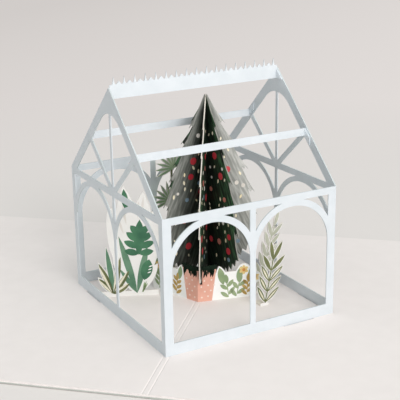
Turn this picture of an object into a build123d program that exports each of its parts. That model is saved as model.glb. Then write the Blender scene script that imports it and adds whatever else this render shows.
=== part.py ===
from build123d import *
import os
from math import atan, atan2, cos, degrees, hypot, pi, radians, sin, sqrt, tan

# Pop up card with a paper greenhouse, in millimetres, opened flat.
# X runs across the two pages, Y along the fold and Z up. The origin is under the middle of the fold.

# Card base
page_width = 152.0  # from the fold to the outer edge
page_height = 152.0  # along the fold
spine_width = 2.0  # between the two fold scores
cover_thickness = 0.5
insert_thickness = 0.4
insert_inset = 0.6  # edge of the insert inside the edge of the cover
score_width = 0.7
score_depth = 0.15

# Greenhouse sheets
paper = 0.4
wall_length = 68.0
gable_width = 74.0
eaves_height = 48.0
apex_height = 84.0
bottom_rail = 4.2
top_rail = 2.5
tie_beam = 2.4
wall_post = 3.2
wall_mullion = 2.2
wall_arch = 2.3
gable_post = 2.6
gable_mullion = 1.7
gable_arch = 1.9
arch_bite = 0.6  # how far the crown of an arch runs into the rail over it
rafter = 3.4
king_post = 1.3
brace = 2.0
apex_radius = 11.0  # arched underside of the solid gable top
flap_width = 2.2  # glue flap behind a gable post
flap_margin = 1.0  # flap ends short of the foot and the eaves
tab_width = 12.0
tab_inset = 9.0  # from the corner to the tab
slit_clearance = 0.1

# Roof strips
purlin_offset = 18.4  # in from the eaves
purlin_depth = 2.7
purlin_tab = 3.0
ridge_depth = 4.8
ridge_rise = 0.8  # top of the ridge strip over the gable top
ridge_tab_margin = 0.3
spike_count = 17
spike_pitch = 4.0
spike_height = 2.6
spike_width = 1.1
spike_waist = 0.5  # width of a spike where its flared foot ends
spike_flare = 0.9  # height of the flared foot
bump_height = 1.1
bump_width = 1.9

# Tree
tree_place = 13.5  # along the fold from the middle
tree_turn = 4.0  # angle of its centre sheet to the fold
tree_height = 75.0
tree_radius = 20.3
tree_skirt = 7.2  # height of the lowest needle tips
tree_shoulder = 0.75  # share of the height over which the tree widens
skirt_rise = 9.0  # from the lowest needle tips to the tips of the lowest tier
skirt_curve = 2.9  # power of the curve along the needle tips
tier_count = 6
tier_first = 11.6  # from the top to the tips of the first tier
tier_droop = 1.1  # depth of the jags under a tier
tier_notch = 2.8  # how far a tier steps back in
tier_sag = 0.5  # hollow of the upper edge of a tier
needle_count = 7
needle_depth = 2.8
front_rise = 1.2  # the same at the front of the centre sheet, which hangs over the pot
front_tip = 19.7  # from the axis to the last needle there
left_spread = 46.0  # angle of the left front vane to the centre sheet
right_spread = 42.0  # angle of the right front vane to the centre sheet
rear_spread = 60.0  # angle of the rear side vanes to the centre sheet
glue_strip = 1.6
trunk_width = 3.6
trunk_foot = 6.0

# Scenery strip
strip_place = -4.2
strip_back = 27.0  # angle of the wings behind square
strip_wing = 22.5
strip_height = 10.8
strip_foot = 5.0
foot_inset = 3.5
wing_leaf = 8.0
wing_leaf_width = 3.0
flower_radius = 1.9
pot_rim = 7.4  # half width
pot_base = 5.4
pot_height = 14.0
slit_width = 1.0  # slit in the pot that takes the front of the tree's centre sheet
slit_clearance = 0.4

# Plants
white_border = 0.6  # bare paper round a printed leaf
fine_border = 0.3  # the same on a single stem
stem_width = 1.0
stem_band = 1.8  # half length of the foot under a single stem
plant_foot = 4.5
left_plants_across = -37.2  # left end of the strip, from the foot of the tree
left_plants_along = -20.3
left_plants_turn = 17.5  # angle to the front edge of the card
left_plants_length = 22.0
left_plants_band = 2.0
left_foot_length = 13.0
broad_place = 13.9
broad_leaf = 40.0
broad_leaf_width = 9.0
tuft_place = 5.2
tuft_leaf = 19.0
tuft_leaf_width = 1.5
fronds_behind = 22.0  # single stems are placed from the axis of the tree, square to the greenhouse
fronds_aside = -3.4
fronds_height = 42.0  # to the middle of the upper fan
fan_drop = 13.0
fan_shift = 1.0
fan_leaf = 7.8
fan_leaf_width = 0.8
sprig_behind = -28.5
sprig_aside = 7.5
sprig_height = 25.5
sprig_bare = 1.2
sprig_turn = 12.0  # angle of the stem
sprig_pair_count = 4
sprig_lean = 38.0  # angle of the leaves to the stem
sprig_leaf = 7.8
sprig_leaf_width = 1.6
rear_sprig_behind = -17.0
rear_sprig_aside = 11.0
rear_sprig_height = 33.5
rear_sprig_bare = 6.0
rear_sprig_turn = 18.0  # angle of the stem
rear_sprig_pair_count = 5
rear_sprig_lean = 30.0  # angle of the leaves to the stem
rear_sprig_leaf = 6.6
rear_sprig_leaf_width = 1.4

# Values that follow from these
page_top = cover_thickness + insert_thickness
diagonal = hypot(wall_length, gable_width)
along_wall = Vector(gable_width, wall_length, 0) / diagonal
along_gable = Vector(-wall_length, gable_width, 0) / diagonal
front_corner = Vector(0, -diagonal / 2, page_top)
wall_angle = degrees(atan2(wall_length, gable_width))
pitch = atan(2 * (apex_height - eaves_height) / gable_width)
ridge_bottom = apex_height + ridge_rise - ridge_depth
purlin_middle = eaves_height + purlin_offset * tan(pitch) - rafter / 2 / cos(pitch)
tree_foot = Vector(0, tree_place, page_top)


def house_point(along, back):
    # A point at the foot of the greenhouse, from its front corner.
    return front_corner + along_wall * along + along_gable * back


def wall_plane(back):
    # Upright plane parallel to the front wall, facing forwards.
    return Plane(house_point(0, back), x_dir=along_wall, z_dir=-along_gable)


def gable_plane(along):
    # Upright plane parallel to the gables, facing along the ridge.
    return Plane(house_point(along, 0), x_dir=along_gable, z_dir=along_wall)


def plant_plane(aside, behind):
    # Upright plane parallel to the front wall, from the foot of the tree.
    return Plane(tree_foot + along_wall * aside + along_gable * behind, x_dir=along_wall, z_dir=-along_gable)


def plant_floor(aside, behind):
    # Plane on the page at the foot of a plant.
    return Plane(tree_foot + along_wall * aside + along_gable * behind, x_dir=along_wall, z_dir=(0, 0, 1))


def bar(start, end, width):
    # Straight bar between two points of a sketch.
    run = Vector(end) - Vector(start)
    middle = (Vector(start) + Vector(end)) / 2
    with Locations(Location(middle, degrees(atan2(run.Y, run.X)))):
        Rectangle(run.length, width)


def cut_arched_bays(span, post, mullion, band, head):
    # Two bays with a round arch in each, open below the arch and in its spandrels.
    inner = (span - 2 * post - mullion) / 4
    outer = inner + band
    spring = head + arch_bite - outer
    shoulder = spring + sqrt(outer**2 - inner**2)
    tip = sqrt(outer**2 - (head - spring) ** 2)
    for middle in (post + inner, span - post - inner):
        with BuildLine() as light:
            Polyline(
                (middle - inner, spring),
                (middle - inner, bottom_rail),
                (middle + inner, bottom_rail),
                (middle + inner, spring),
            )
            ThreePointArc((middle + inner, spring), (middle, spring + inner), (middle - inner, spring))
        make_face(light.line, mode=Mode.SUBTRACT)
        for side in (-1, 1):
            low = atan2(shoulder - spring, side * inner)
            high = atan2(head - spring, side * tip)
            half_way = (low + high) / 2
            with BuildLine() as spandrel:
                Polyline(
                    (middle + side * inner, shoulder),
                    (middle + side * inner, head),
                    (middle + side * tip, head),
                )
                ThreePointArc(
                    (middle + side * tip, head),
                    (middle + outer * cos(half_way), spring + outer * sin(half_way)),
                    (middle + side * inner, shoulder),
                )
            make_face(spandrel.line, mode=Mode.SUBTRACT)


def leaf(foot, lean, length, width, border=white_border):
    # Pointed leaf with its white border, leaning from upright by an angle.
    ahead = Vector(sin(radians(lean)), cos(radians(lean)))
    across = Vector(ahead.Y, -ahead.X)
    start = Vector(foot) - ahead * border
    end = start + ahead * (length + 2 * border)
    belly = start + (end - start) * 0.5
    reach = across * (width / 2 + border)
    with BuildLine() as edge:
        ThreePointArc(start, belly + reach, end)
        ThreePointArc(end, belly - reach, start)
    make_face(edge.line)


def score(face_height, depth):
    # Two V-shaped fold scores along the spine, cut into the face at that height.
    for side in (-1, 1):
        middle = side * spine_width / 2
        with BuildLine() as groove:
            Polyline(
                (middle - score_width / 2, face_height),
                (middle, face_height - depth),
                (middle + score_width / 2, face_height),
                close=True,
            )
        make_face(groove.line)


def turned(plane, angle):
    # The same plane after a turn of the greenhouse about its middle.
    return Plane(
        plane.origin.rotate(Axis.Z, angle),
        x_dir=plane.x_dir.rotate(Axis.Z, angle),
        z_dir=plane.z_dir.rotate(Axis.Z, angle),
    )


def vane_edge(rise=skirt_rise, end_needle=None):
    # Edge of half a tree from its top to the foot of its trunk: jagged tiers, then a fringe of needles.
    last_fall = tree_height - tree_skirt - skirt_rise
    drop = (last_fall - tier_first) / (tier_count - 1)
    start = Vector(0, tree_height)
    points = [start]
    reach = 0
    for tier in range(tier_count):
        fall = tier_first + drop * tier
        share = fall / (tree_height - tree_skirt)
        reach = tree_radius * sin(min(share / tree_shoulder, 1) * pi / 2)
        tip = Vector(reach, tree_height - fall)
        points.append((start + tip) / 2 - Vector(tier_sag, 0))
        points.append(tip)
        if tier < tier_count - 1:
            start = tip + Vector(-tier_notch, tier_droop * 1.4)
            points.append(tip + Vector(-tier_notch * 0.4, tier_droop))
            points.append(tip + Vector(-tier_notch * 0.6, tier_droop * 0.2))
            points.append(start)
    if end_needle:
        points.append(Vector(end_needle, tree_skirt + rise))
    gap = (reach - trunk_width) / needle_count
    for needle in range(1, needle_count + 1):
        across = reach - gap * needle
        level = tree_skirt + rise * (across / tree_radius) ** skirt_curve
        points.append(Vector(across + gap * 0.3, level + needle_depth))
        points.append(Vector(across, level))
    points.append(Vector(trunk_width, 0))
    return points


def vane():
    # Half of a tree on one side of the fold of its sheet.
    with BuildLine() as outline:
        Polyline(*vane_edge(), (0, 0), close=True)
    make_face(outline.line)


def heading(angle):
    # Level direction, turned from the front of the tree towards its right.
    return Vector(sin(radians(angle + tree_turn)), -cos(radians(angle + tree_turn)), 0)


def vane_plane(angle, aside=0, back=0):
    # Upright plane of a vane, from a point beside and behind the axis of the tree.
    start = tree_foot + heading(90) * aside - heading(0) * back
    return Plane(start, x_dir=heading(angle), z_dir=heading(angle).cross(Vector(0, 0, 1)))


# Cover sheet, scored on its outside
with BuildPart() as cover:
    with BuildSketch():
        Rectangle(2 * page_width + spine_width, page_height)
    extrude(amount=cover_thickness)
    with BuildSketch(Plane.XZ.offset(-page_height / 2)):
        score(0, -score_depth)
    extrude(amount=page_height, mode=Mode.SUBTRACT)
cover.part.label = "outer_cover"

# Insert sheet, scored on its inside, with a slit for each tab of the greenhouse
tab_middle_wall = wall_length - tab_inset - tab_width / 2
tab_middle_gable = gable_width - tab_inset - tab_width / 2
wall_tab = house_point(tab_middle_wall, paper / 2)
gable_tab = house_point(paper / 2, tab_middle_gable)
with BuildPart() as insert:
    with BuildSketch(Plane.XY.offset(cover_thickness)):
        Rectangle(2 * (page_width - insert_inset) + spine_width, page_height - 2 * insert_inset)
        for side in (-1, 1):
            for tab, angle in ((wall_tab, wall_angle), (gable_tab, wall_angle + 90)):
                with Locations(Location((side * tab.X, side * tab.Y), angle)):
                    Rectangle(
                        tab_width + 2 * slit_clearance,
                        paper + 2 * slit_clearance,
                        mode=Mode.SUBTRACT,
                    )
    extrude(amount=insert_thickness)
    with BuildSketch(Plane.XZ.offset(-page_height / 2)):
        score(page_top, score_depth)
    extrude(amount=page_height, mode=Mode.SUBTRACT)
insert.part.label = "inner_page"

# Greenhouse: two equal sheets, each a wall and a gable folded at the corner over the spine
roof_top = apex_height - rafter / cos(pitch)
roof_foot = rafter / sin(pitch)
halves = []
for name, turn in (("greenhouse_front", 0), ("greenhouse_rear", 180)):
    with BuildPart() as half:
        with BuildSketch(turned(wall_plane(0), turn)):
            with Locations(((wall_length - paper) / 2, eaves_height / 2)):
                Rectangle(wall_length - paper, eaves_height)
            cut_arched_bays(wall_length, wall_post, wall_mullion, wall_arch, eaves_height - top_rail)
            with Locations((tab_middle_wall, -insert_thickness / 2)):
                Rectangle(tab_width, insert_thickness)
        extrude(amount=-paper)
        with BuildSketch(turned(gable_plane(0), turn)):
            with BuildLine():
                Polyline(
                    (0, 0),
                    (gable_width, 0),
                    (gable_width, eaves_height),
                    (gable_width / 2, apex_height),
                    (0, eaves_height),
                    close=True,
                )
            make_face()
            cut_arched_bays(gable_width, gable_post, gable_mullion, gable_arch, eaves_height - tie_beam)
            with BuildLine():
                FilletPolyline(
                    (roof_foot, eaves_height),
                    (gable_width / 2, roof_top),
                    (gable_width - roof_foot, eaves_height),
                    radius=apex_radius,
                )
                Line((gable_width - roof_foot, eaves_height), (roof_foot, eaves_height))
            make_face(mode=Mode.SUBTRACT)
            tie_middle = (gable_width / 2, eaves_height - tie_beam / 2)
            bar(tie_middle, (gable_width / 2, roof_top), king_post)
            bar(tie_middle, (purlin_offset, purlin_middle), brace)
            bar(tie_middle, (gable_width - purlin_offset, purlin_middle), brace)
            with Locations((tab_middle_gable, -insert_thickness / 2)):
                Rectangle(tab_width, insert_thickness)
        extrude(amount=paper)
        with BuildSketch(turned(gable_plane(wall_length - paper), turn)):
            with Locations((flap_width / 2, eaves_height / 2)):
                Rectangle(flap_width, eaves_height - 2 * flap_margin)
        extrude(amount=-paper)
    half.part.label = name
    halves.append(half.part)

# Ridge strip with its cresting, and a tab at each end glued inside the gable top
ridge_top = apex_height + ridge_rise
crest_line = [(paper, ridge_bottom), (paper, ridge_top)]
first_spike = (wall_length - spike_pitch * (spike_count - 1)) / 2
for spike in range(spike_count):
    middle = first_spike + spike * spike_pitch
    crest_line.append((middle - spike_width / 2, ridge_top))
    crest_line.append((middle - spike_waist / 2, ridge_top + spike_flare))
    crest_line.append((middle, ridge_top + spike_height))
    crest_line.append((middle + spike_waist / 2, ridge_top + spike_flare))
    crest_line.append((middle + spike_width / 2, ridge_top))
    if spike < spike_count - 1:
        bump = middle + spike_pitch / 2
        crest_line.append((bump - bump_width / 2, ridge_top))
        crest_line.append((bump, ridge_top + bump_height))
        crest_line.append((bump + bump_width / 2, ridge_top))
crest_line.append((wall_length - paper, ridge_top))
crest_line.append((wall_length - paper, ridge_bottom))
ridge_tab_top = apex_height - ridge_tab_margin
ridge_tab_reach = (ridge_tab_top - ridge_bottom) / tan(pitch)
with BuildPart() as crest:
    with BuildSketch(wall_plane((gable_width + paper) / 2)):
        with BuildLine():
            Polyline(*crest_line, close=True)
        make_face()
    extrude(amount=paper)
    for along, side in ((paper, 1), (wall_length - paper, -1)):
        with BuildSketch(gable_plane(along)):
            with BuildLine():
                Polyline(
                    (gable_width / 2 - side * paper / 2, ridge_bottom),
                    (gable_width / 2 - side * paper / 2, ridge_tab_top),
                    (gable_width / 2, ridge_tab_top),
                    (gable_width / 2 + side * ridge_tab_reach, ridge_bottom),
                    close=True,
                )
            make_face()
        extrude(amount=side * paper)
crest.part.label = "ridge_crest"

# Purlin strips, each with a tab at either end that follows the rafter
purlins = []
for name, turn in (("front_purlin", 0), ("rear_purlin", 180)):
    with BuildPart() as purlin:
        with BuildSketch(turned(wall_plane(purlin_offset + paper / 2), turn)):
            with Locations((wall_length / 2, purlin_middle)):
                Rectangle(wall_length - 2 * paper, purlin_depth)
        extrude(amount=paper)
        for along, side in ((paper, 1), (wall_length - paper, -1)):
            with BuildSketch(turned(gable_plane(along), turn)):
                near = purlin_offset - side * paper / 2
                far = purlin_offset + side * purlin_tab
                climb = side * purlin_tab * tan(pitch)
                with BuildLine():
                    Polyline(
                        (near, purlin_middle - purlin_depth / 2),
                        (far, purlin_middle - purlin_depth / 2 + climb),
                        (far, purlin_middle + purlin_depth / 2 + climb),
                        (near, purlin_middle + purlin_depth / 2),
                        close=True,
                    )
                make_face()
            extrude(amount=side * paper)
    purlin.part.label = name
    purlins.append(purlin.part)

# Tree: a flat sheet near the line of the fold, and a folded sheet of two vanes glued to each side of it
with BuildPart() as tree_centre:
    with BuildSketch(vane_plane(0)):
        with BuildLine():
            Polyline(
                *vane_edge(front_rise, front_tip),
                *[(-point.X, point.Y) for point in reversed(vane_edge()[1:])],
                close=True,
            )
        make_face()
    extrude(amount=paper / 2, both=True)
tree_centre.part.label = "tree_centre"

tree_floor = Plane(tree_foot, x_dir=heading(90), z_dir=(0, 0, 1))
tree_sides = []
for name, hand, spread in (("tree_left", -1, left_spread), ("tree_right", 1, right_spread)):
    with BuildPart() as tree_side:
        for angle, side in ((spread, -1), (180 - rear_spread, 1)):
            with BuildSketch(vane_plane(hand * angle, hand * paper / 2, side * glue_strip / 2)):
                vane()
            extrude(amount=hand * side * paper)
        with BuildSketch(tree_floor):
            with Locations((hand * paper, 0)):
                Rectangle(paper, glue_strip)
        extrude(amount=tree_height - tier_first)
        with BuildSketch(tree_floor):
            with Locations((hand * (paper + trunk_foot) / 2, 0)):
                Rectangle(trunk_foot, trunk_foot)
        extrude(amount=paper)
    tree_side.part.label = name
    tree_sides.append(tree_side.part)

# Scenery strip: a V fold over the spine with half of the pot on each wing
# Leaves: share of the wing, lean and share of the leaf size. Flowers: share of the wing and of its height.
wing_leaves = {
    1: ((0.44, -12, 0.9), (0.69, 12, 0.8), (0.9, 10, 0.9)),
    -1: ((0.4, -10, 0.7), (0.78, 8, 0.8), (0.93, -8, 0.9)),
}
wing_flowers = {1: ((0.79, 1.02), (0.98, 0.7)), -1: ((0.86, 0.94),)}
slit_reach = (tree_place - strip_place) / (
    cos(radians(tree_turn)) + sin(radians(tree_turn)) * tan(radians(strip_back))
)
slit_place = slit_reach * sin(radians(tree_turn)) / cos(radians(strip_back))
slit_bottom = tree_skirt - slit_clearance
with BuildPart() as scenery:
    for side, leaves in wing_leaves.items():
        outwards = Vector(side * cos(radians(strip_back)), sin(radians(strip_back)), 0)
        fold = Vector(0, strip_place, page_top)
        with BuildSketch(Plane(fold, x_dir=outwards, z_dir=outwards.cross(Vector(0, 0, 1)))):
            with Locations((strip_wing / 2, strip_height / 2)):
                Rectangle(strip_wing, strip_height)
            with BuildLine():
                Polyline((0, 0), (pot_base, 0), (pot_rim, pot_height), (0, pot_height), close=True)
            make_face()
            for place, lean, share in leaves:
                foot = (strip_wing * place, strip_height - wing_leaf * share * 0.7)
                leaf(foot, lean, wing_leaf * share, wing_leaf_width * share)
            for place, height in wing_flowers[side]:
                with Locations((strip_wing * place, strip_height * height)):
                    Circle(flower_radius + white_border)
            if side == 1:
                with Locations((slit_place, (slit_bottom + pot_height) / 2)):
                    Rectangle(slit_width, pot_height - slit_bottom, mode=Mode.SUBTRACT)
        extrude(amount=-side * paper)
        with BuildSketch(Plane(fold, x_dir=outwards, z_dir=(0, 0, 1))):
            with Locations((strip_wing / 2, side * strip_foot / 2)):
                Rectangle(strip_wing - 2 * foot_inset, strip_foot)
        extrude(amount=paper)
scenery.part.label = "scenery_strip"

# Plants on the left page: a broad-leaved plant and a tuft of narrow leaves on one strip
# Each leaf has its lean and its share of the longest leaf.
broad_leaves = ((-30, 0.42), (-15, 0.9), (-5, 1.06), (5, 1.0), (13, 0.85), (35, 0.34))
tuft_leaves = ((-40, 0.45), (-23, 0.72), (-7, 1.0), (11, 0.8), (33, 0.58), (57, 0.37))
left_end = tree_foot + Vector(left_plants_across, left_plants_along, 0)
left_ahead = Vector(cos(radians(left_plants_turn)), sin(radians(left_plants_turn)), 0)
with BuildPart() as left_plants:
    with BuildSketch(Plane(left_end, x_dir=left_ahead, z_dir=left_ahead.cross(Vector(0, 0, 1)))):
        with Locations((left_plants_length / 2, left_plants_band / 2)):
            Rectangle(left_plants_length, left_plants_band)
        for lean, share in broad_leaves:
            leaf((broad_place, left_plants_band / 2), lean, broad_leaf * share, broad_leaf_width * share)
        for lean, share in tuft_leaves:
            leaf((tuft_place, left_plants_band / 2), lean, tuft_leaf * share, tuft_leaf_width)
    extrude(amount=-paper)
    with BuildSketch(Plane(left_end, x_dir=left_ahead, z_dir=(0, 0, 1))):
        with Locations((foot_inset + left_foot_length / 2, plant_foot / 2)):
            Rectangle(left_foot_length, plant_foot)
    extrude(amount=paper)
left_plants.part.label = "left_plants"


def leafy_stem(height, turn, bare, pairs, lean, length, width, tips):
    # Stem with pairs of leaves, and one leaf or two at its end.
    run = Vector(sin(radians(turn)), cos(radians(turn)))
    end = height - length - fine_border
    with Locations((0, stem_width / 2)):
        Rectangle(2 * stem_band, stem_width)
    bar(run * stem_width / 2, run * end, stem_width)
    for pair in range(pairs):
        level = bare + (end - bare) * pair / pairs
        for side in (-1, 1):
            leaf(run * level, turn + side * lean, length, width, fine_border)
    for side in tips:
        leaf(run * end, turn + side * lean / 2, length, width, fine_border)


def fan_stem(height):
    # Stem with a fan of narrow leaves at its end and another one lower down.
    with Locations((0, stem_width / 2)):
        Rectangle(2 * stem_band, stem_width)
    bar((0, 0), (0, height), stem_width)
    for place, level in ((fan_shift, height), (-fan_shift, height - fan_drop)):
        bar((0, level - fan_shift), (place, level), stem_width)
        for lean in range(-110, 71, 20):
            leaf((place, level), lean, fan_leaf, fan_leaf_width, fine_border)


# Single stems on the pages
stems = []
for name, aside, behind in (
    ("rear_fronds", fronds_aside, fronds_behind),
    ("right_sprig", sprig_aside, sprig_behind),
    ("rear_sprig", rear_sprig_aside, rear_sprig_behind),
):
    with BuildPart() as stem:
        with BuildSketch(plant_plane(aside, behind)):
            if name == "rear_fronds":
                fan_stem(fronds_height)
            elif name == "right_sprig":
                leafy_stem(
                    sprig_height,
                    sprig_turn,
                    sprig_bare,
                    sprig_pair_count,
                    sprig_lean,
                    sprig_leaf,
                    sprig_leaf_width,
                    (-1, 1),
                )
            else:
                leafy_stem(
                    rear_sprig_height,
                    rear_sprig_turn,
                    rear_sprig_bare,
                    rear_sprig_pair_count,
                    rear_sprig_lean,
                    rear_sprig_leaf,
                    rear_sprig_leaf_width,
                    (0,),
                )
        extrude(amount=-paper)
        with BuildSketch(plant_floor(aside, behind)):
            with Locations((0, plant_foot / 2)):
                Rectangle(2 * stem_band, plant_foot)
        extrude(amount=paper)
    stem.part.label = name
    stems.append(stem.part)

os.makedirs("parts", exist_ok=True)
for piece in (
    cover.part,
    insert.part,
    *halves,
    crest.part,
    *purlins,
    tree_centre.part,
    *tree_sides,
    scenery.part,
    left_plants.part,
    *stems,
):
    export_step(piece, f"parts/{piece.label}.step")
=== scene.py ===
import bpy
import bmesh
import random
from math import asin, cos, hypot, pi, radians, sin
from mathutils import Matrix, Vector


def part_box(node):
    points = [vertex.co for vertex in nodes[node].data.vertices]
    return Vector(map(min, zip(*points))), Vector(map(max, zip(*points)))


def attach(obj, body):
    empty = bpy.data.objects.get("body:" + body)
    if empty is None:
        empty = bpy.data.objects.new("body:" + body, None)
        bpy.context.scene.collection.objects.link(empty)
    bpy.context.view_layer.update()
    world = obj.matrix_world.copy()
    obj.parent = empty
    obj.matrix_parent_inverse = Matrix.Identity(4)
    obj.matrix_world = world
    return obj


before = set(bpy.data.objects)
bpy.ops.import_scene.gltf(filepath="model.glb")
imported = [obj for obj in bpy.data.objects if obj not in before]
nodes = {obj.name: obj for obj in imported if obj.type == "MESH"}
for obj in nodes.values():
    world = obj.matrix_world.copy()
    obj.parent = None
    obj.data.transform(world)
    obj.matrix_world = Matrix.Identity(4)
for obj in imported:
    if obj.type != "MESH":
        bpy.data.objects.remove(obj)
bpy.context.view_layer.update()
mm = 0.001
up = Vector((0, 0, 1))

# The plan of the card in millimetres and degrees, as in the part's source
card = {
    "paper": 0.4, "pageTop": 0.9, "wallLength": 68.0, "gableWidth": 74.0,
    "treePlace": 13.5, "treeTurn": 4.0, "leftSpread": 46.0, "rightSpread": 42.0,
    "rearSpread": 60.0, "glueStrip": 1.6, "stripPlace": -4.2, "stripBack": 27.0,
    "fineBorder": 0.3,
}
diagonal = hypot(card["wallLength"], card["gableWidth"])
alongWall = Vector((card["gableWidth"], card["wallLength"], 0)) / diagonal
alongGable = Vector((-card["wallLength"], card["gableWidth"], 0)) / diagonal
treeFoot = Vector((0, card["treePlace"], card["pageTop"]))


# Nodes that the materials, the floor and the sky share

def startMaterial(name):
    material = bpy.data.materials.new(name)
    material.use_nodes = True
    tree = material.node_tree
    return material, tree, tree.nodes["Principled BSDF"]


def setInputs(node, values):
    for key, value in values.items():
        node.inputs[key].default_value = value


def addNode(tree, kind, **values):
    node = tree.nodes.new(kind)
    for key, value in values.items():
        if key in node.inputs:
            node.inputs[key].default_value = value
        else:
            setattr(node, key, value)
    return node


def mathNode(tree, operation, *sources, kind="ShaderNodeMath", **values):
    # Each source is the output of another node, or a fixed value
    node = addNode(tree, kind, operation=operation, **values)
    for socket, source in zip(node.inputs, sources):
        if isinstance(source, bpy.types.NodeSocket):
            tree.links.new(source, socket)
        else:
            socket.default_value = source
    return node.outputs


def vectorNode(tree, operation, *sources):
    return mathNode(tree, operation, *sources, kind="ShaderNodeVectorMath")


def mapRange(tree, source, start, end, low=0.0, high=1.0, **values):
    node = addNode(tree, "ShaderNodeMapRange", **values)
    setInputs(node, {"From Min": start, "From Max": end, "To Min": low, "To Max": high})
    tree.links.new(source, node.inputs["Value"])
    return node.outputs["Result"]


def objectNoise(tree, scale, detail=3.0):
    place = addNode(tree, "ShaderNodeTexCoord")
    noise = addNode(tree, "ShaderNodeTexNoise", Scale=scale, Detail=detail)
    tree.links.new(place.outputs["Object"], noise.inputs["Vector"])
    return noise.outputs["Fac"]


def tintRamp(tree, source, dark, light, low=0.35, high=0.65):
    ramp = addNode(tree, "ShaderNodeValToRGB")
    ramp.color_ramp.elements[0].position = low
    ramp.color_ramp.elements[0].color = (*dark, 1)
    ramp.color_ramp.elements[1].position = high
    ramp.color_ramp.elements[1].color = (*light, 1)
    tree.links.new(source, ramp.inputs["Fac"])
    return ramp.outputs["Color"]


def mixShaders(tree, share, first, second, output):
    mix = addNode(tree, "ShaderNodeMixShader")
    for socket, source in zip(mix.inputs, (share, first, second)):
        tree.links.new(source, socket)
    tree.links.new(mix.outputs["Shader"], output.inputs["Surface"])


def seenRays(tree):
    # 1 for what the camera sees, straight or by gloss and glass, and 0 for what lights the card
    path = addNode(tree, "ShaderNodeLightPath").outputs
    straight = mathNode(tree, "MAXIMUM", path["Is Camera Ray"], path["Is Glossy Ray"])["Value"]
    return mathNode(tree, "MAXIMUM", straight, path["Is Transmission Ray"])["Value"]


# Paper: a cloudy tint, and fine fibres as bump
grain = {"cloud": 160.0, "fibre": 900.0, "detail": 4.0, "depth": 0.0001,
         "paper": 0.12, "needles": 0.1}


def addFibres(tree, shader, scale, strength):
    bump = addNode(tree, "ShaderNodeBump", Strength=strength, Distance=grain["depth"])
    tree.links.new(objectNoise(tree, scale, grain["detail"]), bump.inputs["Height"])
    tree.links.new(bump.outputs["Normal"], shader.inputs["Normal"])


def paperMaterial(name, dark, light, roughness, specular=0.35, metallic=0.0, coat=0.0,
                  fibre=grain["fibre"]):
    material, tree, shader = startMaterial(name)
    cloud = objectNoise(tree, grain["cloud"])
    tree.links.new(tintRamp(tree, cloud, dark, light), shader.inputs["Base Color"])
    addFibres(tree, shader, fibre, grain["paper"])
    setInputs(shader, {"Roughness": roughness, "Specular IOR Level": specular,
                       "Metallic": metallic, "Coat Weight": coat, "Coat Roughness": 0.3})
    return material


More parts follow.
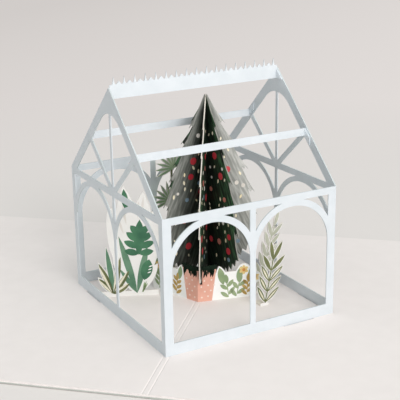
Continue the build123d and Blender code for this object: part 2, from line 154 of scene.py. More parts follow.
paperLooks = {
    "cardStock": dict(dark=(0.83, 0.783, 0.765), light=(0.845, 0.798, 0.78),
                      roughness=0.75, specular=0.25, fibre=1400.0),
    # Partly painted shade: the cover's rim is greyer, partly its cut-edge tone and partly the
    # shade along its front edge
    "coverEdgeAndShade": dict(dark=(0.50, 0.52, 0.485), light=(0.55, 0.57, 0.535),
                      roughness=0.8, specular=0.2),
    "pearlCard": dict(dark=(0.66, 0.716, 0.757), light=(0.70, 0.75, 0.792),
                      roughness=0.36, specular=0.6, metallic=0.1, coat=0.2),
    # Painted light: the ridge and purlins take a lighter copy of the pearl card, standing in for
    # the stronger light on them
    "pearlStripPaintedLight": dict(dark=(0.705, 0.762, 0.805), light=(0.745, 0.797, 0.84),
                       roughness=0.36, specular=0.6, metallic=0.1, coat=0.2),
    # Partly painted shade: the pearl card's cut edges are darkened against the light that falls on
    # them, over their own edge tone
    "pearlEdgeAndShade": dict(dark=(0.48, 0.54, 0.55), light=(0.57, 0.63, 0.64), roughness=0.7),
    "whiteSheet": dict(dark=(0.91, 0.91, 0.89), light=(0.94, 0.94, 0.92), roughness=0.6),
    "softSheet": dict(dark=(0.81, 0.80, 0.775), light=(0.84, 0.83, 0.805), roughness=0.65),
    "whiteEdge": dict(dark=(0.74, 0.68, 0.60), light=(0.84, 0.79, 0.72), roughness=0.7),
    "vaneEdge": dict(dark=(0.20, 0.20, 0.18), light=(0.36, 0.35, 0.32), roughness=0.7),
    "terracotta": dict(dark=(0.73, 0.37, 0.28), light=(0.80, 0.44, 0.34), roughness=0.55),
    "paleDot": dict(dark=(0.82, 0.66, 0.58), light=(0.88, 0.74, 0.66), roughness=0.6),
    "needleGreen": dict(dark=(0.003, 0.006, 0.004), light=(0.009, 0.022, 0.012),
                        roughness=0.8, specular=0.12),
    "deepLeaf": dict(dark=(0.035, 0.13, 0.07), light=(0.07, 0.21, 0.11), roughness=0.55),
    "sageLeaf": dict(dark=(0.24, 0.33, 0.17), light=(0.34, 0.42, 0.24), roughness=0.55),
    "oliveLeaf": dict(dark=(0.10, 0.12, 0.045), light=(0.17, 0.18, 0.075), roughness=0.55),
    "frondLeaf": dict(dark=(0.30, 0.46, 0.26), light=(0.54, 0.66, 0.44), roughness=0.55),
    "strapLeaf": dict(dark=(0.085, 0.20, 0.12), light=(0.15, 0.28, 0.18), roughness=0.55),
    "greyLeaf": dict(dark=(0.44, 0.46, 0.36), light=(0.54, 0.55, 0.45), roughness=0.55),
    "creamLeaf": dict(dark=(0.74, 0.69, 0.53), light=(0.83, 0.79, 0.65), roughness=0.55),
    "ghostLeaf": dict(dark=(0.70, 0.67, 0.62), light=(0.76, 0.73, 0.69), roughness=0.6),
    "goldLeaf": dict(dark=(0.46, 0.30, 0.08), light=(0.62, 0.44, 0.16),
                     roughness=0.4, metallic=0.4),
    "yellowPetal": dict(dark=(0.80, 0.58, 0.22), light=(0.88, 0.70, 0.36), roughness=0.6),
    "orangeHeart": dict(dark=(0.66, 0.26, 0.06), light=(0.76, 0.36, 0.11), roughness=0.6),
    "redBauble": dict(dark=(0.56, 0.025, 0.045), light=(0.66, 0.06, 0.075),
                      roughness=0.45, specular=0.6),
    "pinkBauble": dict(dark=(0.52, 0.16, 0.12), light=(0.62, 0.24, 0.19),
                       roughness=0.45, specular=0.6),
    "whiteBauble": dict(dark=(0.72, 0.68, 0.62), light=(0.84, 0.80, 0.74), roughness=0.5),
    "blueBauble": dict(dark=(0.16, 0.25, 0.33), light=(0.24, 0.34, 0.42),
                       roughness=0.45, specular=0.6),
    # Partly painted glint: the flecks are printed gold, and their pale, bright tone stands in for
    # the glint of foil
    "goldFleckAndGlint": dict(dark=(0.92, 0.80, 0.52), light=(0.97, 0.91, 0.74), roughness=0.35),
}


# Needles: strokes that hang outwards from the tree's axis, in metres from its foot
needleStroke = {"slant": -66, "size": (0.007, 0.0009, 1), "detail": 3.0, "ramp": (0.42, 0.72)}
needleFade = {"apex": 0.077, "widest": 0.024, "heart": 0.004, "rim": 0.020,
              "skirt": 0.008, "body": 0.034, "skirtShare": 0.15,
              "strokes": (0.35, 0.65), "ragged": 0.13}
needleGloss = {"Specular IOR Level": 0.4, "Coat Roughness": 0.38, "Coat IOR": 1.7}
needlePrints = {
    "treePrint": dict(heart=((0.002, 0.003, 0.002), (0.008, 0.024, 0.012)),
                      rim=((0.004, 0.012, 0.006), (0.085, 0.22, 0.095)),
                      coat=0.1, roughness=0.6),
    # Painted sheen: paler copies of the needle print for the vanes' right-facing faces, standing
    # in for the gloss the key light gives them
    "treePaintedSheenGrey": dict(heart=((0.004, 0.006, 0.004), (0.026, 0.055, 0.028)),
                          rim=((0.20, 0.212, 0.192), (0.37, 0.37, 0.35)),
                          coat=0.8, roughness=0.42),
    "treePaintedSheenPale": dict(heart=((0.09, 0.10, 0.085), (0.24, 0.26, 0.23)),
                          rim=((0.42, 0.43, 0.40), (0.66, 0.66, 0.63)),
                          coat=0.8, roughness=0.42),
}


def needleMaterial(name, heart, rim, coat, roughness):
    material, tree, shader = startMaterial(name)
    link = tree.links.new
    place = addNode(tree, "ShaderNodeTexCoord").outputs["Object"]
    fromFoot = vectorNode(tree, "SUBTRACT", place, treeFoot * mm)["Vector"]
    flat = vectorNode(tree, "MULTIPLY", fromFoot, (1, 1, 0))["Vector"]
    reach = vectorNode(tree, "LENGTH", flat)["Value"]
    split = addNode(tree, "ShaderNodeSeparateXYZ")
    link(fromFoot, split.inputs["Vector"])
    height = split.outputs["Z"]

    # Strokes on the plane of reach and height, the same on every vane
    plane = addNode(tree, "ShaderNodeCombineXYZ")
    link(reach, plane.inputs["X"])
    link(height, plane.inputs["Y"])
    slant = addNode(tree, "ShaderNodeMapping", vector_type="TEXTURE")
    setInputs(slant, {"Rotation": (0, 0, radians(needleStroke["slant"])),
                      "Scale": needleStroke["size"]})
    link(plane.outputs["Vector"], slant.inputs["Vector"])
    noise = addNode(tree, "ShaderNodeTexNoise", Scale=1.0, Detail=needleStroke["detail"])
    link(slant.outputs["Vector"], noise.inputs["Vector"])
    strokes = noise.outputs["Fac"]

    # Dark near the axis and at the skirt, with a ragged change to the rim's tone. On the
    # painted-sheen prints the dark heart is painted shade near the axis, where the vanes meet.
    narrowing = mapRange(tree, height, needleFade["apex"], needleFade["widest"], high=pi / 2)
    width = mathNode(tree, "SINE", narrowing)["Value"]
    share = mathNode(tree, "DIVIDE", reach, width)["Value"]
    outer = mapRange(tree, share, needleFade["heart"], needleFade["rim"],
                     interpolation_type="SMOOTHSTEP")
    upper = mapRange(tree, height, needleFade["skirt"], needleFade["body"],
                     low=needleFade["skirtShare"])
    even = mathNode(tree, "MULTIPLY", outer, upper)["Value"]
    ragged = mapRange(tree, strokes, *needleFade["strokes"],
                      -needleFade["ragged"], needleFade["ragged"])
    fade = addNode(tree, "ShaderNodeMix", data_type="RGBA")  # 0 share, 6 and 7 colours
    link(mathNode(tree, "ADD", even, ragged, use_clamp=True)["Value"], fade.inputs[0])
    link(tintRamp(tree, strokes, *heart, *needleStroke["ramp"]), fade.inputs[6])
    link(tintRamp(tree, strokes, *rim, *needleStroke["ramp"]), fade.inputs[7])
    link(fade.outputs[2], shader.inputs["Base Color"])
    addFibres(tree, shader, grain["fibre"], grain["needles"])
    setInputs(shader, {"Roughness": roughness, "Coat Weight": coat, **needleGloss})
    return material


looks = {name: paperMaterial(name, **look) for name, look in paperLooks.items()}
looks.update({name: needleMaterial(name, **tones) for name, tones in needlePrints.items()})
print("materials", len(looks))


# Finish of the cut sheets: one material on their faces and another on their cut edges, and on the
# tree's vanes a third with painted sheen on the faces that look to the right
sheetTest = {"flat": 0.985, "right": 0.2, "rim": 0.05 * mm}


def heading(angle):
    # Level direction, turned from the front of the tree towards its right
    turned = radians(angle + card["treeTurn"])
    return Vector((sin(turned), -cos(turned), 0))


def dressSheet(node, face, edge, normals, paintedSheenFace=None):
    mesh = nodes[node].data
    mesh.materials.clear()
    for look in (face, edge, paintedSheenFace or face):
        mesh.materials.append(looks[look])
    for polygon in mesh.polygons:
        if any(abs(polygon.normal.dot(normal)) > sheetTest["flat"] for normal in normals):
            # Faces that look to the right take the painted-sheen material, where one is given
            polygon.material_index = 2 if polygon.normal.x > sheetTest["right"] else 0
        else:
            polygon.material_index = 1


houseNormals = [alongWall, alongGable]
# The cut edges take the darker edge tone, which is partly painted shade
for node in ("greenhouse_front", "greenhouse_rear"):
    dressSheet(node, "pearlCard", "pearlEdgeAndShade", houseNormals)
# Painted light: the ridge and purlins take the lighter copy of the pearl card
for node in ("ridge_crest", "front_purlin", "rear_purlin"):
    dressSheet(node, "pearlStripPaintedLight", "pearlStripPaintedLight", houseNormals)
for node in ("outer_cover", "inner_page"):
    dressSheet(node, "cardStock", "cardStock", [up])

# The cover's trimmed rim, without its scores, in a greyer tone that is partly painted shade along
# the card's edge
coverMesh, coverSides = nodes["outer_cover"].data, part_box("outer_cover")
coverMesh.materials.append(looks["coverEdgeAndShade"])
for polygon in coverMesh.polygons:
    gaps = [abs(polygon.center[axis] - side[axis]) for side in coverSides for axis in (0, 1)]
    if min(gaps) < sheetTest["rim"]:
        polygon.material_index = len(coverMesh.materials) - 1

# The tree's vanes, with painted sheen: paler prints on the faces that look to the right
rightVanes = (card["rightSpread"], 180 - card["rearSpread"])
leftVanes = (-card["leftSpread"], card["rearSpread"] - 180)
dressSheet("tree_centre", "treePrint", "whiteEdge", [heading(90)])
dressSheet("tree_right", "treePrint", "vaneEdge",
           [heading(angle + 90) for angle in rightVanes], "treePaintedSheenPale")
dressSheet("tree_left", "treePrint", "vaneEdge",
           [heading(angle + 90) for angle in leftVanes], "treePaintedSheenGrey")
for node in ("rear_fronds", "right_sprig", "rear_sprig"):
    dressSheet(node, "softSheet", "whiteEdge", [alongGable])
print("sheets dressed")


# Printed fields: thin closed plates that reach a little out of both faces of their sheet.
# A layer that reaches further covers the ones below it.
layers = {"ground": 0.03, "low": 0.04, "stalk": 0.045, "middle": 0.05, "broad": 0.055,
          "high": 0.06, "top": 0.07, "heart": 0.08}
plate = {"leafSteps": 8, "discSteps": 16, "merge": 0.001}


def sheetPlane(origin, ahead, inward):
    # Matrix from a sheet's own millimetres to the frame, with z running into the sheet
    across = inward.cross(up)
    matrix = Matrix((across, up, inward)).transposed().to_4x4()
    matrix.translation = origin * mm
    side = 1 if across.dot(ahead) > 0 else -1
    return matrix @ Matrix.Diagonal((mm * side, mm, mm, 1))


def closePlate(bm, layer):
    lift = layers[layer]
    outline = [edge for edge in bm.edges if edge.is_wire]
    face = bmesh.ops.contextual_create(bm, geom=outline)["faces"]
    bmesh.ops.translate(bm, vec=(0, 0, -lift), verts=bm.verts)
    grown = bmesh.ops.extrude_face_region(bm, geom=face)["geom"]
    top = [item for item in grown if isinstance(item, bmesh.types.BMVert)]
    bmesh.ops.translate(bm, vec=(0, 0, card["paper"] + 2 * lift), verts=top)
    return bm


def leafPlate(length, width, layer):
    # One side of the leaf is an arc from foot to tip, mirrored for the other
    bm = bmesh.new()
    bulge = width / 2
    radius = (length**2 / 4 + bulge**2) / (2 * bulge)
    foot = bmesh.ops.create_vert(bm, co=(0, 0, 0))["vert"]
    bmesh.ops.spin(bm, geom=foot, cent=(bulge - radius, length / 2, 0), axis=(0, 0, 1),
                   angle=2 * asin(length / 2 / radius), steps=plate["leafSteps"])
    bmesh.ops.mirror(bm, geom=bm.verts[:] + bm.edges[:], matrix=Matrix(),
                     merge_dist=plate["merge"], axis="X")
    return closePlate(bm, layer)


def discPlate(radius, layer, steps=plate["discSteps"]):
    bm = bmesh.new()
    bmesh.ops.create_circle(bm, radius=radius, segments=steps, cap_ends=False)
    return closePlate(bm, layer)


def shapePlate(points, layer):
    bm = bmesh.new()
    corners = [bm.verts.new((*point, 0)) for point in points]
    for here, there in zip(corners, corners[1:] + corners[:1]):
        bm.edges.new((here, there))
    return closePlate(bm, layer)


def stalkPlate(halfWidth, low, high, layer):
    return shapePlate([(-halfWidth, low), (halfWidth, low), (halfWidth, high),
                       (-halfWidth, high)], layer)


def at(x, y, lean=0):
    return Matrix.Translation((x, y, 0)) @ Matrix.Rotation(-radians(lean), 4, "Z")


class PrintField:
    def __init__(self, name, look, slot):
        self.name, self.look, self.slot = name, look, slot
        self.bm = bmesh.new()

    def stamp(self, stamped, matrix):
        stamped.transform(matrix)
        held = bpy.data.meshes.new("held")
        stamped.to_mesh(held)
        stamped.free()
        self.bm.from_mesh(held)
        bpy.data.meshes.remove(held)

    def finish(self):
        bmesh.ops.recalc_face_normals(self.bm, faces=self.bm.faces)
        mesh = bpy.data.meshes.new(self.name)
        self.bm.to_mesh(mesh)
        self.bm.free()
        mesh.materials.append(looks[self.look])
        piece = bpy.data.objects.new(self.name, mesh)
        bpy.context.scene.collection.objects.link(piece)
        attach(piece, "root")


# Tree decorations, scattered over each vane with room between them
treeForm = {"height": 75.0, "radius": 20.3, "skirt": 7.2, "shoulder": 0.75, "rise": 9.0,
            "curve": 2.9, "notch": 3.2}
decorations = {
    "treeBaublesRed": dict(look="redBauble", count=5, radius=(1.05, 1.45)),
    "treeBaublesPink": dict(look="pinkBauble", count=3, radius=(0.9, 1.2)),
    "treeBaublesBlue": dict(look="blueBauble", count=2, radius=(0.8, 1.0)),
    "treeBaublesWhite": dict(look="whiteBauble", count=5, radius=(0.5, 0.9)),
    # Flecks in a pale gold that is partly painted glint
    "treeFlecks": dict(look="goldFleckAndGlint", count=16, radius=(0.32, 0.52)),
}
scatter = {"seed": 41, "low": 12.0, "high": 68.0, "inner": 1.0, "axisGap": 0.9, "gap": 1.1,
           "tries": 400}
fleck = {"length": 3.6, "width": 1.7, "turn": 30}
halfPaper = card["paper"] / 2
treeVanes = []
for angle in (0, 180):
    treeVanes.append(sheetPlane(treeFoot - heading(90) * halfPaper, heading(angle), heading(90)))
for hand, angles in ((1, rightVanes), (-1, leftVanes)):
    for angle, rear in zip(angles, (-1, 1)):
        glued = heading(0) * (rear * card["glueStrip"] / 2)
        start = treeFoot + heading(90) * hand * halfPaper - glued
        ahead = heading(angle)
        treeVanes.append(sheetPlane(start, ahead, ahead.cross(up) * (hand * rear)))


def treeReach(height):
    # How far from the axis a decoration may stand, inside the notches of the outline
    share = (treeForm["height"] - height) / (treeForm["height"] - treeForm["skirt"])
    wide = treeForm["radius"] * sin(min(share / treeForm["shoulder"], 1) * pi / 2)
    lift = (height - treeForm["skirt"]) / treeForm["rise"]
    low = treeForm["radius"] * min(lift, 1) ** (1 / treeForm["curve"])
    return min(wide, low) - treeForm["notch"]


def hasRoom(across, height, radius, spots):
    if across + radius > treeReach(height) or across - radius < scatter["axisGap"]:
        return False
    return all(hypot(across - x, height - y) >= radius + size + scatter["gap"]
               for x, y, size in spots)


chance = random.Random(scatter["seed"])
taken = [[] for vane in treeVanes]
for name, spec in decorations.items():
    field = PrintField(name, spec["look"], "tree_print")
    for vane, spots in zip(treeVanes, taken):
        placed = 0
        for attempt in range(scatter["tries"]):
            radius = chance.uniform(*spec["radius"])
            height = chance.uniform(scatter["low"], scatter["high"])
            across = chance.uniform(scatter["inner"], treeForm["radius"])
            if not hasRoom(across, height, radius, spots):
                continue
            spots.append((across, height, radius))
            if name == "treeFlecks":
                turn = chance.uniform(-fleck["turn"], fleck["turn"])
                field.stamp(leafPlate(radius * fleck["length"], radius * fleck["width"], "high"),
                            vane @ at(across, height, turn))
            else:
                field.stamp(discPlate(radius, "middle"), vane @ at(across, height))
            placed += 1
            if placed == spec["count"]:
                break
    field.finish()
print("tree decorated", sum(len(spots) for spots in taken))


# Scenery strip: the pot and its needles in the middle, leaves, sprays and flowers on the wings.
# Tables with 1 and -1 are for the right and the left wing.
pot = {
    "rim": 7.4, "base": 5.4, "height": 14.0, "foliage": 12.4, "dotRadius": 0.34, "dotSteps": 10,
    "dots": ((1.5, 1.6), (3.9, 1.9), (2.7, 3.9), (5.0, 4.1), (1.4, 5.9), (4.0, 6.3),
             (2.6, 8.2), (5.3, 8.3), (6.3, 6.2)),
}
slit = {"place": 1.34, "half": 0.5, "bottom": 6.8}  # where the tree's front passes through
fringe = {"start": 0.45, "step": 0.4, "count": 16, "width": 0.8, "root": 0.8, "sway": 14,
          "ends": 3, "lengths": (0.4, 3.4)}
strip = {
    "wing": 22.5, "height": 10.8, "leaf": 8.0, "leafWidth": 3.0, "leafDrop": 0.7,
    # share of the wing, lean, size
    "leaves": {1: ((0.44, -12, 0.9), (0.69, 12, 0.8), (0.9, 10, 0.9)),
               -1: ((0.4, -10, 0.7), (0.78, 8, 0.8), (0.93, -8, 0.9))},
    # share of the wing, foot, pairs of leaves, lean
    "sprays": {1: ((0.53, 0.6, 2, -7), (0.66, 0.6, 2, 12), (0.84, 0.8, 3, 5)),
               -1: ((0.47, 0.8, 3, -6), (0.64, 0.6, 3, 8), (0.86, 0.8, 3, -3))},
    "goldSpray": {1: 2, -1: 0},
    # shares of the wing and of the strip's height
    "flowers": {1: ((0.79, 1.02), (0.98, 0.7)), -1: ((0.86, 0.94),)},
}
spray = {"rise": 6.3, "tip": 2.5, "stalk": 0.4, "blades": {2: 4.0, 3: 3.3}, "tipDrop": 0.9,
         "tipWidth": 0.42, "leafWidth": 0.38, "shrink": 0.3, "foot": 0.5, "stagger": 0.5,
         "lean": 46}
flower = {"petals": 6, "petal": 1.9, "petalWidth": 1.25, "heart": 0.6}
stripTurn = radians(card["stripBack"])
dressSheet("scenery_strip", "whiteSheet", "whiteEdge",
           [Vector((sin(stripTurn), side * cos(stripTurn), 0)) for side in (1, -1)])
potBody = PrintField("potBody", "terracotta", "scenery_print")
potDots = PrintField("potDots", "paleDot", "scenery_print")
potNeedles = PrintField("potNeedles", "needleGreen", "scenery_print")
stripLeaves = PrintField("stripLeaves", "sageLeaf", "scenery_print")
stripSprays = PrintField("stripSprays", "goldLeaf", "scenery_print")
stripFlowers = PrintField("stripFlowers", "yellowPetal", "scenery_print")
stripHearts = PrintField("stripHearts", "orangeHeart", "scenery_print")
foliage = pot["foliage"]
rimHere = pot["base"] + (pot["rim"] - pot["base"]) * foliage / pot["height"]
nearSide, farSide = slit["place"] - slit["half"], slit["place"] + slit["half"]


def printPot(wing, side):
    notch = []
    bands = [(0, rimHere, pot["rim"])]  # start, and end at the band's foot and top
    if side == 1:
        notch = [(farSide, foliage), (farSide, slit["bottom"]),
                 (nearSide, slit["bottom"]), (nearSide, foliage)]
        bands = [(0, nearSide, nearSide), (farSide, rimHere, pot["rim"])]
    outline = [(0, 0), (pot["base"], 0), (rimHere, foliage), *notch, (0, foliage)]
    potBody.stamp(shapePlate(outline, "ground"), wing)
    for start, low, high in bands:
        band = [(start, foliage), (low, foliage), (high, pot["height"]), (start, pot["height"])]
        potNeedles.stamp(shapePlate(band, "low"), wing)
    for x, y in pot["dots"]:
        potDots.stamp(discPlate(pot["dotRadius"], "high", pot["dotSteps"]), wing @ at(x, y))


def printFringe(wing, side):
    for item in range(fringe["count"]):
        place = fringe["start"] + fringe["step"] * item
        if side == 1 and abs(place - slit["place"]) < 2 * slit["half"]:
            continue
        sway = chance.uniform(-fringe["sway"], fringe["sway"])
        if item < fringe["ends"]:
            sway = abs(sway)
        elif item >= fringe["count"] - fringe["ends"]:
            sway = -abs(sway)
        length = fringe["root"] + chance.uniform(*fringe["lengths"])
        potNeedles.stamp(leafPlate(length, fringe["width"], "top"),
                         wing @ at(place, foliage + fringe["root"], 180 - sway))


def printSpray(field, stalk, pairs):
    blade = spray["blades"][pairs]
    step = spray["rise"] / pairs
    field.stamp(leafPlate(step * pairs + spray["tip"], spray["stalk"], "stalk"), stalk)
    field.stamp(leafPlate(blade, blade * spray["tipWidth"], "middle"),
                stalk @ at(0, step * pairs - spray["tipDrop"]))
    for pair in range(pairs):
        for hand in (-1, 1):
            level = spray["foot"] + step * pair + spray["stagger"] * hand
            field.stamp(leafPlate(blade - spray["shrink"] * pair, blade * spray["leafWidth"],
                                  "middle"), stalk @ at(0, level, hand * spray["lean"]))


for side in (1, -1):
    outwards = Vector((side * cos(stripTurn), sin(stripTurn), 0))
    wing = sheetPlane(Vector((0, card["stripPlace"], card["pageTop"])), outwards,
                      outwards.cross(up) * -side)
    printPot(wing, side)
    printFringe(wing, side)
    for share, lean, size in strip["leaves"][side]:
        foot = strip["height"] - strip["leaf"] * size * strip["leafDrop"]
        stripLeaves.stamp(leafPlate(strip["leaf"] * size, strip["leafWidth"] * size, "low"),
                          wing @ at(strip["wing"] * share, foot, lean))
    for item, (share, foot, pairs, lean) in enumerate(strip["sprays"][side]):
        field = stripSprays if item == strip["goldSpray"][side] else stripLeaves
        printSpray(field, wing @ at(strip["wing"] * share, foot, lean), pairs)
    for share, height in strip["flowers"][side]:
        centre = wing @ at(strip["wing"] * share, strip["height"] * height)
        for petal in range(flower["petals"]):
            stripFlowers.stamp(leafPlate(flower["petal"], flower["petalWidth"], "middle"),
                               centre @ at(0, 0, 360 / flower["petals"] * petal))
        stripHearts.stamp(discPlate(flower["heart"], "top"), centre)
for field in (potBody, potDots, potNeedles, stripLeaves, stripSprays, stripFlowers, stripHearts):
    field.finish()
print("strip printed")


# Plants on the left page
leftPlants = {
    "across": -37.2, "along": -20.3, "turn": 17.5, "band": 2.0,
    # lean, length, width of the straps, from one foot
    "strapPlace": 13.9, "straps": ((-15, 24.0, 2.6), (13, 20.0, 2.6), (-32, 12.0, 1.8)),
    # place, foot, lean, length, width of the broad leaves
    "broad": {"bud": (11.0, 33.9, -5, 8.5, 2.4), "small": (16.7, 6.2, 14, 8.5, 4.4),
              "split": (15.0, 16.4, 3, 14.0, 4.2)},
    # level, lean, length of the split leaf's lobes
    "lobes": ((0.5, 78, 5.6), (2.9, 66, 6.2), (5.4, 54, 6.0), (7.9, 42, 5.0)), "lobeWidth": 2.7,
    # place, lean, length
    "grass": ((16.2, 8, 4.4), (15.9, 20, 4.8), (15.6, 33, 4.4)),
    "grassFoot": 1.2, "grassWidth": 0.7,
    # place, foot, lean, length
    "ghost": ((16.5, 31.5, 7, 8.0), (15.0, 31.0, 6, 6.5), (9.6, 25.0, -16, 6.5),
              (10.8, 28.5, -9, 8.0)),
    "ghostWidth": 0.9,
}
veins = {"levels": (0.35, 0.5, 0.65), "length": 0.36, "width": 0.45, "aside": 0.12, "lean": 55}
tuft = {
    "place": 5.2, "leaf": 19.0, "width": 2.0, "plainItem": 2,
    "leaves": ((-40, 0.45), (-23, 0.72), (-7, 1.0), (11, 0.8), (33, 0.58), (57, 0.37)),
    "heart": 0.88, "heartWidth": 0.85, "heartAside": -0.45, "heartFoot": 0.8,
}
leftTurn = radians(leftPlants["turn"])
leftAhead = Vector((cos(leftTurn), sin(leftTurn), 0))
leftInward = up.cross(leftAhead)
leftPlace = treeFoot + Vector((leftPlants["across"], leftPlants["along"], 0))
leftPage = sheetPlane(leftPlace, leftAhead, leftInward)
dressSheet("left_plants", "softSheet", "whiteEdge", [leftInward])
leftGhost = PrintField("leftGhostLeaves", "ghostLeaf", "leaf_print")
leftStraps = PrintField("leftStraps", "strapLeaf", "leaf_print")
leftBroad = PrintField("leftBroadLeaves", "deepLeaf", "leaf_print")
leftVeins = PrintField("leftLeafVeins", "whiteSheet", "leaf_print")
leftGrass = PrintField("leftGrass", "sageLeaf", "leaf_print")
leftTuft = PrintField("leftTuft", "oliveLeaf", "leaf_print")
leftTuftHearts = PrintField("leftTuftHearts", "creamLeaf", "leaf_print")
leftFoot = leftPlants["band"] / 2
for x, y, lean, length in leftPlants["ghost"]:
    leftGhost.stamp(leafPlate(length, leftPlants["ghostWidth"], "ground"),
                    leftPage @ at(x, y, lean))
for lean, length, width in leftPlants["straps"]:
    leftStraps.stamp(leafPlate(length, width, "stalk"),
                     leftPage @ at(leftPlants["strapPlace"], leftFoot, lean))
for leaf, (x, y, lean, length, width) in leftPlants["broad"].items():
    spot = leftPage @ at(x, y, lean)
    leftBroad.stamp(leafPlate(length, width, "broad"), spot)
    if leaf == "split":
        for level, spread, lobe in leftPlants["lobes"]:
            for hand in (-1, 1):
                leftBroad.stamp(leafPlate(lobe, leftPlants["lobeWidth"], "middle"),
                                spot @ at(0, level, hand * spread))
    if leaf == "small":
        for level in veins["levels"]:
            leftVeins.stamp(leafPlate(width * veins["length"], veins["width"], "top"),
                            spot @ at(width * veins["aside"], length * level, veins["lean"]))
for x, lean, length in leftPlants["grass"]:
    leftGrass.stamp(leafPlate(length, leftPlants["grassWidth"], "middle"),
                    leftPage @ at(x, leftPlants["grassFoot"], lean))
for item, (lean, share) in enumerate(tuft["leaves"]):
    spot = leftPage @ at(tuft["place"], leftFoot, lean)
    field = leftStraps if item == tuft["plainItem"] else leftTuft
    field.stamp(leafPlate(tuft["leaf"] * share, tuft["width"], "high"), spot)
    if item != tuft["plainItem"]:
        heartSpot = spot @ at(tuft["heartAside"], tuft["heartFoot"])
        leftTuftHearts.stamp(leafPlate(tuft["leaf"] * share * tuft["heart"], tuft["heartWidth"],
                                       "heart"), heartSpot)
for field in (leftGhost, leftStraps, leftBroad, leftVeins, leftGrass, leftTuft, leftTuftHearts):
    field.finish()


# Fronds behind the tree and sprigs on the right page
def plantPlane(aside, behind):
    return sheetPlane(treeFoot + alongWall * aside + alongGable * behind, alongWall, alongGable)


fans = {"aside": -3.4, "behind": 22.0, "height": 42.0, "drop": 13.0, "shift": 1.0, "leaf": 7.8,
        "width": 0.8, "leans": range(-110, 71, 20), "stemHalf": 0.3, "stemFoot": 0.3}
frondPage = plantPlane(fans["aside"], fans["behind"])
frondLeaves = PrintField("frondLeaves", "frondLeaf", "leaf_print")
frondStems = PrintField("frondStems", "oliveLeaf", "leaf_print")
frondStems.stamp(stalkPlate(fans["stemHalf"], fans["stemFoot"], fans["height"], "low"), frondPage)
for place, level in ((fans["shift"], fans["height"]),
                     (-fans["shift"], fans["height"] - fans["drop"])):
    for lean in fans["leans"]:
        frondLeaves.stamp(leafPlate(fans["leaf"], fans["width"], "high"),
                          frondPage @ at(place, level, lean))
frondLeaves.finish()
frondStems.finish()

stems = {
    "rightSprig": dict(look="oliveLeaf", heart="creamLeaf", aside=7.5, behind=-28.5, height=25.5,
                       turn=12.0, bare=1.2, pairs=4, lean=38.0, leaf=7.8, width=1.6,
                       tips=(-1, 1)),
    "rearSprig": dict(look="greyLeaf", heart=None, aside=11.0, behind=-17.0, height=33.5,
                      turn=18.0, bare=6.0, pairs=5, lean=30.0, leaf=6.6, width=1.4, tips=(0,)),
}
stalk = {"half": 0.25, "foot": 1.0, "past": 0.4}
leafHeart = {"length": 0.74, "width": 0.36, "foot": 0.12, "plainLeaves": 2}
for name, stem in stems.items():
    page = plantPlane(stem["aside"], stem["behind"]) @ at(0, 0, stem["turn"])
    end = stem["height"] - stem["leaf"] - card["fineBorder"]
    spots = []
    for pair in range(stem["pairs"]):
        level = stem["bare"] + (end - stem["bare"]) * pair / stem["pairs"]
        spots += [page @ at(0, level, side * stem["lean"]) for side in (-1, 1)]
    tips = [page @ at(0, end, side * stem["lean"] / 2) for side in stem["tips"]]
    leaves = PrintField(name + "Leaves", stem["look"], "leaf_print")
    leaves.stamp(stalkPlate(stalk["half"], stalk["foot"], end + stalk["past"], "middle"), page)
    for spot in spots + tips:
        leaves.stamp(leafPlate(stem["leaf"], stem["width"], "high"), spot)
    leaves.finish()
    if stem["heart"]:
        hearts = PrintField(name + "Hearts", stem["heart"], "leaf_print")
        for spot in spots[:-leafHeart["plainLeaves"]]:
            hearts.stamp(leafPlate(stem["leaf"] * leafHeart["length"],
                                   stem["width"] * leafHeart["width"], "heart"),
                         spot @ at(0, stem["leaf"] * leafHeart["foot"]))
        hearts.finish()
print("plants printed")


# Floor, in metres: it takes the shadow near the card, and further off has the backdrop's tone,
# with painted shade that darkens it towards the left
floorLook = {
    "half": 4.0, "drop": 0.0002, "cloud": 6.0, "roughness": 0.9,
    "dark": (0.765, 0.730, 0.710), "light": (0.775, 0.740, 0.720),
    "farLeft": (0.640, 0.607, 0.588), "farRight": (0.778, 0.738, 0.716),
    "fadeStart": 0.15, "fadeEnd": 0.36, "across": (1, -0.24, 0), "leftEnd": -0.6, "rightEnd": 0.1,
}


def floorMaterial():
    material, tree, shader = startMaterial("paleFloor")
    cloud = objectNoise(tree, floorLook["cloud"])
    near = tintRamp(tree, cloud, floorLook["dark"], floorLook["light"])
    tree.links.new(near, shader.inputs["Base Color"])
    shader.inputs["Roughness"].default_value = floorLook["roughness"]
    place = addNode(tree, "ShaderNodeTexCoord").outputs["Object"]
    aside = vectorNode(tree, "DOT_PRODUCT", place, floorLook["across"])["Value"]
    # Painted shade: the far tone darkens towards the left
    spread = mapRange(tree, aside, floorLook["leftEnd"], floorLook["rightEnd"])
    tone = tintRamp(tree, spread, floorLook["farLeft"], floorLook["farRight"], 0.0, 1.0)
    far = addNode(tree, "ShaderNodeEmission")
    tree.links.new(tone, far.inputs["Color"])
    away = vectorNode(tree, "LENGTH", place)["Value"]
    fade = mapRange(tree, away, floorLook["fadeStart"], floorLook["fadeEnd"])
    share = mathNode(tree, "MULTIPLY", fade, seenRays(tree))["Value"]
    mixShaders(tree, share, shader.outputs["BSDF"], far.outputs["Emission"],
               tree.nodes["Material Output"])
    return material


bm = bmesh.new()
bmesh.ops.create_grid(bm, x_segments=1, y_segments=1, size=floorLook["half"])
bmesh.ops.translate(bm, vec=(0, 0, -floorLook["drop"]), verts=bm.verts)
floorMesh = bpy.data.meshes.new("floor")
bm.to_mesh(floorMesh)
bm.free()
floorMesh.materials.append(floorMaterial())
floor = bpy.data.objects.new("floor", floorMesh)
bpy.context.scene.collection.objects.link(floor)

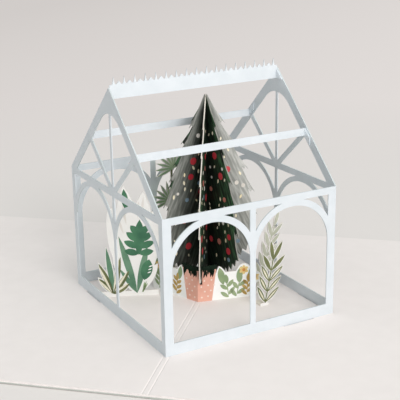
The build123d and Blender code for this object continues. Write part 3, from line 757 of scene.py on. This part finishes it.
# Sky: cool and weak from behind on the left, warm and strong from the right
skyLook = {"seen": (0.72, 0.685, 0.66, 1), "cool": (0.74, 0.97, 1.0), "warm": (1.0, 0.98, 0.96),
           "from": (0.8, -0.25, 0.55), "start": -0.4, "end": 1.0, "weak": 0.14, "strong": 0.93,
           "coolEnd": 0.3, "warmStart": 0.75}
world = bpy.data.worlds.new("studio")
bpy.context.scene.world = world
world.use_nodes = True
sky = world.node_tree
sky.nodes.clear()
seen = addNode(sky, "ShaderNodeBackground", Color=skyLook["seen"])
lit = addNode(sky, "ShaderNodeBackground")
outlook = addNode(sky, "ShaderNodeTexCoord").outputs["Generated"]
towards = vectorNode(sky, "DOT_PRODUCT", outlook, Vector(skyLook["from"]).normalized())["Value"]
amount = mapRange(sky, towards, skyLook["start"], skyLook["end"],
                  skyLook["weak"], skyLook["strong"])
skyTint = tintRamp(sky, amount, skyLook["cool"], skyLook["warm"],
                   skyLook["coolEnd"], skyLook["warmStart"])
sky.links.new(amount, lit.inputs["Strength"])
sky.links.new(skyTint, lit.inputs["Color"])
mixShaders(sky, seenRays(sky), lit.outputs["Background"], seen.outputs["Background"],
           addNode(sky, "ShaderNodeOutputWorld"))

# Lamps: the key stands square to the front wall, the other above the card
lampAim = Vector((0, 0, 0.03))
lamps = {
    "keyLamp": dict(place=(1.32, -1.38, 0.9), size=1.3, power=24.0, tint=(1.0, 0.985, 0.97)),
    "topLamp": dict(place=(-0.25, -0.1, 0.95), size=0.9, power=3.0, tint=(1.0, 0.97, 0.95)),
}
for name, lamp in lamps.items():
    light = bpy.data.lights.new(name, "AREA")
    light.size = lamp["size"]
    light.energy = lamp["power"]
    light.color = lamp["tint"]
    holder = bpy.data.objects.new(name, light)
    holder.location = lamp["place"]
    holder.rotation_mode = "QUATERNION"
    holder.rotation_quaternion = (lampAim - holder.location).to_track_quat("-Z", "Y")
    bpy.context.scene.collection.objects.link(holder)

# Camera at the photo's viewing angle
shot = {"azimuth": 13.46, "elevation": 17.95, "roll": -0.97, "distance": 0.3643,
        "aim": (0, 0, 0.040), "right": 0.00044, "up": -0.00047, "lens": 90.0, "sensor": 36.0,
        "nearest": 0.01}
azimuth, tilt, roll = (radians(shot[key]) for key in ("azimuth", "elevation", "roll"))
back = Vector((sin(azimuth) * cos(tilt), -cos(azimuth) * cos(tilt), sin(tilt)))
level = Vector((cos(azimuth), sin(azimuth), 0))
upright = back.cross(level)
right = level * cos(roll) + upright * sin(roll)
above = upright * cos(roll) - level * sin(roll)
stand = Matrix((right, above, back)).transposed().to_4x4()
stand.translation = (Vector(shot["aim"]) + back * shot["distance"]
                     + right * shot["right"] + above * shot["up"])
camera = bpy.data.cameras.new("camera")
camera.lens = shot["lens"]
camera.sensor_width = shot["sensor"]
camera.clip_start = shot["nearest"]
cameraHolder = bpy.data.objects.new("camera", camera)
cameraHolder.matrix_world = stand
bpy.context.scene.collection.objects.link(cameraHolder)
bpy.context.scene.camera = cameraHolder
bpy.context.scene.view_settings.view_transform = "Standard"
print("floor, light and camera set")
